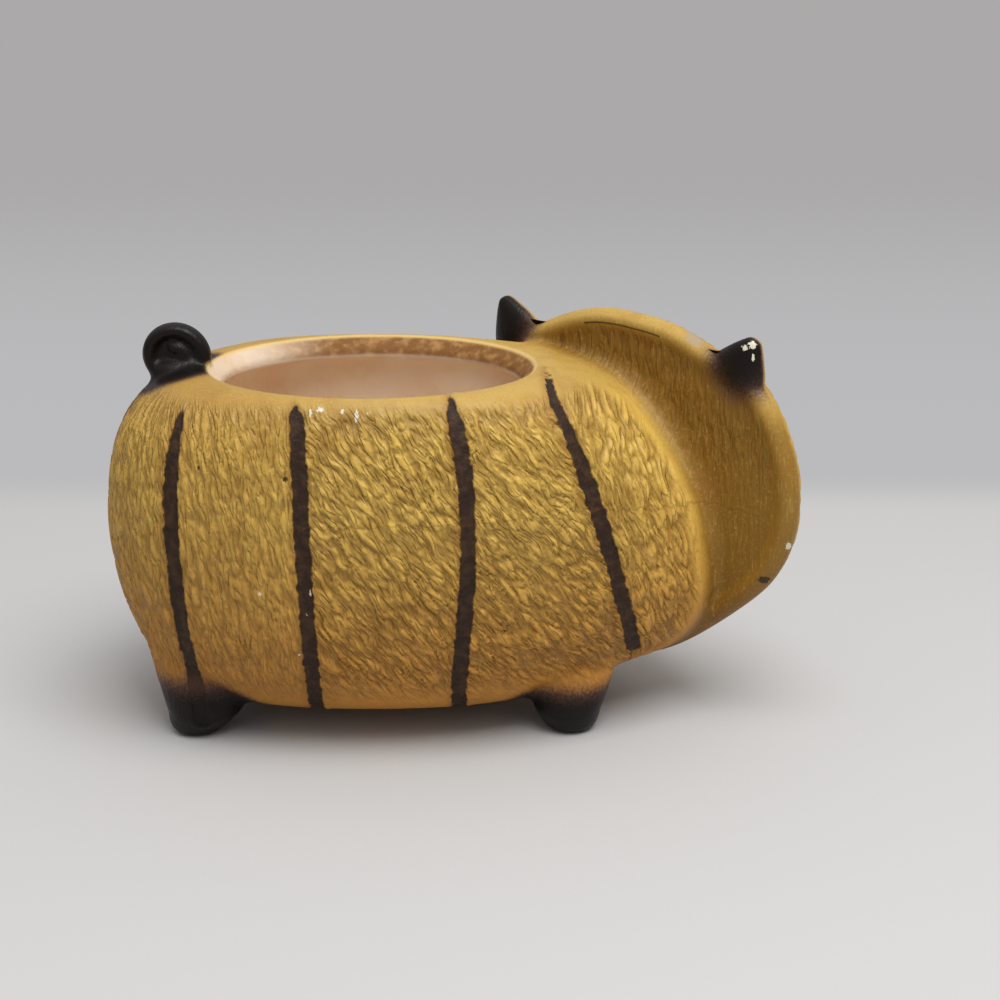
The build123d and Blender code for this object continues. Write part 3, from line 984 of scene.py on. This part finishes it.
class Paint(Nodes):
    """A material, with textures laid out in millimetres."""

    def __init__(self, name):
        self.material = bpy.data.materials.new(name)
        super().__init__(self.material)
        self.shader = self.tree.nodes["Principled BSDF"]
        coordinates = self.put("ShaderNodeTexCoord", {}).outputs["Object"]
        scaled = self.put("ShaderNodeVectorMath", {0: coordinates, "Scale": 1 / MM}, operation="SCALE")
        self.place = scaled.outputs[0]
        self.x, self.y, self.z = self.put("ShaderNodeSeparateXYZ", {0: self.place}).outputs

    def layer(self, name):
        return self.put("ShaderNodeAttribute", {}, attribute_name=name).outputs["Fac"]

    def noise(self, size, detail):
        values = {"Vector": self.place, "Scale": 1 / size, "Detail": detail}
        return self.put("ShaderNodeTexNoise", values).outputs[0]

    def streaks(self, width, length):
        """Noise drawn out along Z."""
        shares = (1, 1, width / length)
        stretched = self.put("ShaderNodeVectorMath", {0: self.place, 1: shares}, operation="MULTIPLY")
        return self.put("ShaderNodeTexNoise", {"Vector": stretched.outputs[0], "Scale": 1 / width}).outputs[0]

    def sum(self, first, second):
        return self.put("ShaderNodeMath", {0: first, 1: second}, operation="ADD").outputs[0]

    def product(self, first, second):
        return self.put("ShaderNodeMath", {0: first, 1: second}, operation="MULTIPLY").outputs[0]

    def ramp(self, value, start, end, low=0.0, high=1.0):
        """A value eased from low at start to high at end."""
        limits = {"Value": value, "From Min": start, "From Max": end, "To Min": low, "To Max": high}
        return self.put("ShaderNodeMapRange", limits, interpolation_type="SMOOTHSTEP").outputs["Result"]

    def wander(self, noise, spread, reach):
        """Noise brought between -reach and reach, which it meets at a spread from its middle."""
        return self.ramp(noise, NOISE_MIDDLE - spread, NOISE_MIDDLE + spread, -reach, reach)

    def near(self, offset, width, high):
        """High where an offset is about 0, and 0 beyond a width on both sides."""
        size = self.put("ShaderNodeMath", {0: offset}, operation="ABSOLUTE").outputs[0]
        return self.ramp(size, width, 0.0, 0.0, high)

    def grooves(self, side, along, scale):
        """Winding grooves along the strokes of the fur: 1 in the middle of a groove, 0 between them."""
        flat = self.put("ShaderNodeCombineXYZ", {0: side, 1: along}).outputs[0]
        noise = self.put("ShaderNodeTexNoise", {"Vector": flat, "Scale": scale, "Detail": 1.0}).outputs[0]
        return self.near(self.sum(noise, -NOISE_MIDDLE), GROOVE_REACH, 1.0)

    def mix(self, share, first, second, blend="MIX"):
        values = {0: share, 6: first, 7: second}
        return self.put("ShaderNodeMix", values, data_type="RGBA", blend_type=blend).outputs[2]

    def finish(self, base, roughness, height, depth):
        """Sets the shader's colour and roughness, and a fine bump from a height in shares of a depth."""
        bump = self.put("ShaderNodeBump", {"Strength": 1.0, "Distance": depth * MM, "Height": height})
        self.join(self.shader.inputs["Base Color"], base)
        self.join(self.shader.inputs["Roughness"], roughness)
        self.join(self.shader.inputs["Normal"], bump.outputs[0])
        return self.material


# The noises of the clay: a size and a detail, and for the hair a width and a length
GRAIN = (0.9, 3.0)
BLOT = (3.2, 2.0)
MOTTLE = (15.0, 3.0)
HAIR = (0.8, 7.0)
FINE_GROOVE_SCALE = 1.3
# The part of the grain's noise that most ramps use
GRAIN_SPAN = (0.3, 0.7)

# How ragged edges are: the spread of the noise that moves them, and how far it moves them
SLIP_WANDER = (0.25, 0.4)
DUST_WANDER = (0.25, 0.08)
SPOT_WANDER = (0.2, 0.3)
CRACK_WANDER = (0.3, 1.0)
IRIS_WANDER = (0.5, 0.3)

# Where the glaze turns: paler up the body, painted shade towards the rump and darker down the back of the
# head
MUSTARD_RISE = (15, 95)
HONEY_RISE = (108, 119)
# Painted shade: umber laid over the glaze from the middle back to the rump.
RUMP_PAINTED_SHADE_WAY = (-20, -75)
RUMP_PAINTED_SHADE_SHARE = 0.3
HEAD_DROP = (65, 30)
HEAD_SHADE_SHARE = 0.6
# Painted shade: how far the fine grooves of the fur are darkened.
FINE_GROOVE_SHADE_SHARE = 0.22

# Tones over the glaze: what drives a tone, its values from none to full, the full share and the colour.
# The fur's row is painted shade in the fur's grooves.
MOTTLE_AND_GROOVE_SHADE = [
    ("mottle", (0.45, 0.75), 0.35, UMBER),
    # Painted shade: the fur's grooves darkened towards the groove brown.
    ("fur", (0.85, 0.15), 0.5, GROOVE),
]
FINE_TONES = [
    ("hair", (0.55, 0.8), 0.25, STRAW),
    ("hair", (0.45, 0.2), 0.25, UMBER),
    ("grain", (0.55, 0.8), 0.3, STRAW),
    ("grain", (0.45, 0.2), 0.3, GROOVE),
]

# From none to full: the slip by its edge, its wear by the blots, and the sprayed dark by its dust
SLIP_EDGE = (0.35, -0.3)
SLIP_WEAR = (0.4, 0.7)
HALO_SHARES = (0.2, 0.75)
PLUM_DUST = (0.1, 0.65)
SOOT_DUST = (0.4, 0.9)
# From none to full: the warmer bisque by the mottle, and the tan of the lip by the blots
BISQUE_WARMTH = (0.35, 0.7)
LIP_WEAR = (0.4, 0.75)
# Painted highlight: the share of straw along the mouth's edge.
RIM_HIGHLIGHT_SHARE = 0.6

# Marks of age: the layer, its edge from none to full, the full share and the colour
SPOT_MARKS = [
    ("scuff", (0.6, -1.2), 0.6, ASH),
    ("speck", (0.2, -0.2), 0.9, SLIP),
    ("chip", (0.15, -0.15), 1.0, CHALK),
]
CRACK_WIDTH, CRACK_SHARE = 0.5, 0.4
# Painted shade: the width and share of the near-black line in the crease under the crown's rolled rim.
CROWN_SHADE_WIDTH, CROWN_SHADE_SHARE = 0.6, 0.85

# The clay's roughness by its grain and what adds to it, its shine from glaze to spray, and its bump
CLAY_ROUGHNESS = (0.40, 0.55)
ROUGHNESS_SHARES = {"inside": 0.25, "slip": 0.22, "spray": -0.10}
CLAY_SHINE = (0.3, 0.2)
HEIGHT_SHARES = {"grain": 0.3, "hair": 0.3, "fine": -1.0}
SLIP_HEIGHT_SHARE = 2.5
CLAY_BUMP = 0.4


def clay_drivers(paint):
    """The noises, layers and shares that drive the coats of the clay, by name."""
    drivers = {name: paint.layer(name) for name in ("fur", "spray", "inside", "head_tone")}
    drivers["grain"] = paint.noise(*GRAIN)
    drivers["blot"] = paint.noise(*BLOT)
    drivers["mottle"] = paint.noise(*MOTTLE)
    drivers["hair"] = paint.streaks(*HAIR)
    ragged = paint.sum(paint.layer("paint_edge"), paint.wander(drivers["blot"], *SLIP_WANDER))
    drivers["slip"] = paint.ramp(ragged, *SLIP_EDGE)
    fine = paint.grooves(paint.layer("stroke_side"), paint.layer("stroke_along"), FINE_GROOVE_SCALE)
    fine = paint.product(fine, paint.layer("fur_strength"))
    drivers["fine"] = paint.product(fine, paint.ramp(drivers["slip"], 1.0, 0.0))
    return drivers


def toned(paint, base, tones, drivers):
    for driver, span, share, tint in tones:
        base = paint.mix(paint.ramp(drivers[driver], *span, 0.0, share), base, tint)
    return base


def glaze_colour(paint, drivers):
    """The glaze of the body and the head, before the slip and the sprayed dark, with painted shade in the
    fur's grooves and towards the rump.
    """
    glaze = paint.mix(paint.ramp(paint.z, *MUSTARD_RISE), OCHRE, MUSTARD)
    glaze = paint.mix(paint.ramp(paint.z, *HONEY_RISE), glaze, HONEY)
    # Painted shade towards the rump.
    glaze = paint.mix(paint.ramp(paint.x, *RUMP_PAINTED_SHADE_WAY, 0.0, RUMP_PAINTED_SHADE_SHARE), glaze, UMBER)
    glaze = paint.mix(drivers["head_tone"], glaze, OLIVE)
    low_head = paint.product(drivers["head_tone"], paint.ramp(paint.z, *HEAD_DROP, 0.0, HEAD_SHADE_SHARE))
    glaze = paint.mix(low_head, glaze, GROOVE)
    # The mottle, and painted shade in the fur's grooves.
    glaze = toned(paint, glaze, MOTTLE_AND_GROOVE_SHADE, drivers)
    # Painted shade in the fine grooves of the fur.
    glaze = paint.mix(paint.product(drivers["fine"], FINE_GROOVE_SHADE_SHARE), glaze, GROOVE)
    glaze = toned(paint, glaze, FINE_TONES, drivers)
    return paint.mix(paint.layer("muzzle"), glaze, CREAM)


def dark_coats(paint, glaze, drivers):
    """The glaze with the stripes' trace and slip, and the sprayed dark over them."""
    trace = paint.product(paint.layer("halo"), paint.ramp(drivers["grain"], *GRAIN_SPAN, *HALO_SHARES))
    glaze = paint.mix(trace, glaze, UMBER)
    slip = paint.mix(paint.ramp(drivers["blot"], *SLIP_WEAR), SLIP, SLIP_WORN)
    glaze = paint.mix(drivers["slip"], glaze, slip)
    dust = paint.sum(drivers["spray"], paint.wander(drivers["grain"], *DUST_WANDER))
    glaze = paint.mix(paint.ramp(dust, *PLUM_DUST), glaze, PLUM)
    return paint.mix(paint.ramp(dust, *SOOT_DUST), glaze, SOOT)


def bare_clay(paint, drivers):
    """The bare inside and its brown lip."""
    bare = paint.mix(paint.ramp(drivers["mottle"], *BISQUE_WARMTH), BISQUE, BISQUE_WARM)
    lip = paint.mix(paint.ramp(drivers["blot"], *LIP_WEAR), LIP_BROWN, LIP_TAN)
    return paint.mix(paint.layer("lip"), bare, lip)


def marks_and_crown_shade(paint, base, drivers):
    """A colour with the scuff, the specks, the chips, the hairline crack, and painted shade in the crease
    under the crown's rolled rim.
    """
    ragged = paint.wander(drivers["grain"], *SPOT_WANDER)
    for layer, edge, share, tint in SPOT_MARKS:
        spot = paint.sum(paint.layer(layer), ragged)
        base = paint.mix(paint.ramp(spot, *edge, 0.0, share), base, tint)
    crack = paint.sum(paint.layer("crack"), paint.wander(drivers["blot"], *CRACK_WANDER))
    base = paint.mix(paint.near(crack, CRACK_WIDTH, CRACK_SHARE), base, GROOVE)
    # Painted shade: a near-black line in the crease under the crown's rolled rim.
    seam = paint.near(paint.layer("crown_shade"), CROWN_SHADE_WIDTH, CROWN_SHADE_SHARE)
    return paint.mix(seam, base, SOOT)


def clay_roughness(paint, drivers):
    roughness = paint.ramp(drivers["grain"], *GRAIN_SPAN, *CLAY_ROUGHNESS)
    for driver, share in ROUGHNESS_SHARES.items():
        roughness = paint.sum(roughness, paint.product(drivers[driver], share))
    return roughness


def clay_height(paint, drivers):
    """The height of the clay's fine bump, with blots in the slip."""
    height = paint.product(drivers["slip"], paint.product(drivers["blot"], SLIP_HEIGHT_SHARE))
    for driver, share in HEIGHT_SHARES.items():
        height = paint.sum(height, paint.product(drivers[driver], share))
    return height


def glazed_clay():
    """The painted and glazed outside, the sprayed dark parts and the bare inside."""
    paint = Paint("glazed_clay")
    drivers = clay_drivers(paint)
    glaze = dark_coats(paint, glaze_colour(paint, drivers), drivers)
    base = paint.mix(drivers["inside"], glaze, bare_clay(paint, drivers))
    # Painted highlight: a straw line along the mouth's edge.
    base = paint.mix(paint.product(paint.layer("rim_highlight"), RIM_HIGHLIGHT_SHARE), base, STRAW)
    base = marks_and_crown_shade(paint, base, drivers)
    shine = paint.ramp(drivers["spray"], 0.0, 1.0, *CLAY_SHINE)
    paint.join(paint.shader.inputs["Specular IOR Level"], shine)
    return paint.finish(base, clay_roughness(paint, drivers), clay_height(paint, drivers), CLAY_BUMP)


# The glossy paint of the eyes and the nose: its noise, tone, roughness and bump, and the iris's soft edge
GLOSS_GRAIN = (0.8, 2.0)
GLOSS_TONE = (0.4, 0.8)
GLOSS_TONE_SHARE = 0.3
GLOSS_ROUGHNESS = (0.12, 0.25)
GLOSS_BUMP = 0.05
IRIS_EDGE = 0.5


def dark_gloss(name, spot):
    """Glossy dark paint with a fine grain, and a warmer ring outside a spot where one is given."""
    paint = Paint(name)
    grain = paint.noise(*GLOSS_GRAIN)
    base = paint.mix(paint.ramp(grain, *GLOSS_TONE, 0.0, GLOSS_TONE_SHARE), SOOT, SLIP)
    if spot is not None:
        middle, radius = spot
        away = paint.put("ShaderNodeVectorMath", {0: paint.place, 1: tuple(middle)}, operation="DISTANCE")
        ragged = paint.sum(away.outputs["Value"], paint.wander(grain, *IRIS_WANDER))
        base = paint.mix(paint.ramp(ragged, radius, radius + IRIS_EDGE), base, MUSTARD)
    return paint.finish(base, paint.ramp(grain, *GRAIN_SPAN, *GLOSS_ROUGHNESS), grain, GLOSS_BUMP)


PUPIL_SHARE = 0.5


def eye_spot(name):
    """The middle and the radius of an eye's pupil, at the eye's foremost point."""
    points = node_points(name)
    low, high = node_box(name)
    return points[(points @ LOOKS).argmax()], PUPIL_SHARE * (high[2] - low[2]) / 2


def paint_object(thing, material):
    thing.data.materials.clear()
    thing.data.materials.append(material)


clay = glazed_clay()
for piece in clay_pieces():
    paint_object(piece, clay)
for eye in EYES:
    paint_object(NODES[eye], dark_gloss(eye + "_gloss", eye_spot(eye)))
paint_object(NODES["nose"], dark_gloss("nose_gloss", None))

# The stage: a pale floor, its half-length in metres, which behind the planter glows for the camera in a grey
# that darkens with distance, painted shade of a lit sweep
FLOOR_HALF = 6.0
FLOOR_GRAIN = (2.0, 2.0)
FLOOR_ROUGHNESS = (0.75, 0.85)
FLOOR_BUMP = 0.02
SWEEP_START = 215.0
SWEEP_END = 285.0
BACKDROP_END = 1500.0


def stage_floor():
    """The floor, which the camera sees from the sweep on as a glowing backdrop, darker with distance: painted
    shade.
    """
    corners = [(-FLOOR_HALF, -FLOOR_HALF, 0), (FLOOR_HALF, -FLOOR_HALF, 0)]
    corners += [(FLOOR_HALF, FLOOR_HALF, 0), (-FLOOR_HALF, FLOOR_HALF, 0)]
    mesh = bpy.data.meshes.new("floor")
    mesh.from_pydata(corners, [], [(0, 1, 2, 3)])
    paint = Paint("pale_floor")
    grain = paint.noise(*FLOOR_GRAIN)
    paint.finish(FLOOR_PALE, paint.ramp(grain, *GRAIN_SPAN, *FLOOR_ROUGHNESS), grain, FLOOR_BUMP)
    # Painted shade: the glowing backdrop's grey darkens with distance, as a lit sweep does.
    painted_sweep_shade = paint.mix(paint.ramp(paint.y, SWEEP_END, BACKDROP_END), BACKDROP_LOW, BACKDROP)
    even = paint.put("ShaderNodeEmission", {"Color": painted_sweep_shade})
    seen = paint.put("ShaderNodeLightPath", {}).outputs["Is Camera Ray"]
    share = paint.product(paint.ramp(paint.y, SWEEP_START, SWEEP_END), seen)
    either = paint.put("ShaderNodeMixShader", {0: share, 1: paint.shader.outputs[0], 2: even.outputs[0]})
    paint.join(paint.tree.nodes["Material Output"].inputs["Surface"], either.outputs[0])
    mesh.materials.append(paint.material)
    floor = bpy.data.objects.new("floor", mesh)
    bpy.context.scene.collection.objects.link(floor)


# The surround's light from level and from straight above
LEVEL_LIGHT = 0.18
ZENITH_LIGHT = 0.88


def studio_world():
    """A pale surround that is brightest above. The camera sees the backdrop's grey past the floor."""
    world = bpy.data.worlds.new("studio")
    nodes = Nodes(world)
    way = nodes.put("ShaderNodeTexCoord", {}).outputs["Generated"]
    up = nodes.put("ShaderNodeSeparateXYZ", {0: way}).outputs["Z"]
    light = nodes.put("ShaderNodeMapRange", {"Value": up, "To Min": LEVEL_LIGHT, "To Max": ZENITH_LIGHT})
    surround = nodes.put("ShaderNodeBackground", {"Color": (1, 1, 1, 1), "Strength": light.outputs["Result"]})
    backdrop = nodes.put("ShaderNodeBackground", {"Color": BACKDROP})
    seen = nodes.put("ShaderNodeLightPath", {}).outputs["Is Camera Ray"]
    either = nodes.put("ShaderNodeMixShader", {0: seen, 1: surround.outputs[0], 2: backdrop.outputs[0]})
    nodes.join(nodes.tree.nodes["World Output"].inputs["Surface"], either.outputs[0])
    bpy.context.scene.world = world


# Soft lamps: a place from the floor under the mouth's middle in metres, a width and a power in watts
LAMPS = {
    "key": ((0.22, -0.38, 1.00), 0.7, 9.5),
}


def add_lamp(name):
    place, width, power = LAMPS[name]
    data = bpy.data.lights.new(name, "AREA")
    data.size = width
    data.energy = power
    lamp = bpy.data.objects.new(name, data)
    lamp.location = Vector(MOUTH * MM) + Vector(place)
    aim = Vector((0, 0, RIM_HEIGHT / 2 * MM)) - lamp.location
    lamp.rotation_euler = aim.to_track_quat("-Z", "Y").to_euler()
    bpy.context.scene.collection.objects.link(lamp)


stage_floor()
studio_world()
for lamp_name in LAMPS:
    add_lamp(lamp_name)

# The camera, placed from the point it looks at, with its sensor and lens in millimetres
ELEVATION = math.radians(17)
DISTANCE = 650.0
TARGET = MOUTH + (43, 0, 73)
SENSOR = 36.0
LENS = 68.0


def add_camera():
    target = Vector(TARGET * MM)
    data = bpy.data.cameras.new("camera")
    data.sensor_width = SENSOR
    data.lens = LENS
    camera = bpy.data.objects.new("camera", data)
    camera.location = target + DISTANCE * MM * Vector((0, -math.cos(ELEVATION), math.sin(ELEVATION)))
    camera.rotation_euler = (target - camera.location).to_track_quat("-Z", "Y").to_euler()
    bpy.context.scene.collection.objects.link(camera)
    bpy.context.scene.camera = camera
    bpy.context.scene.view_settings.view_transform = "Standard"


add_camera()
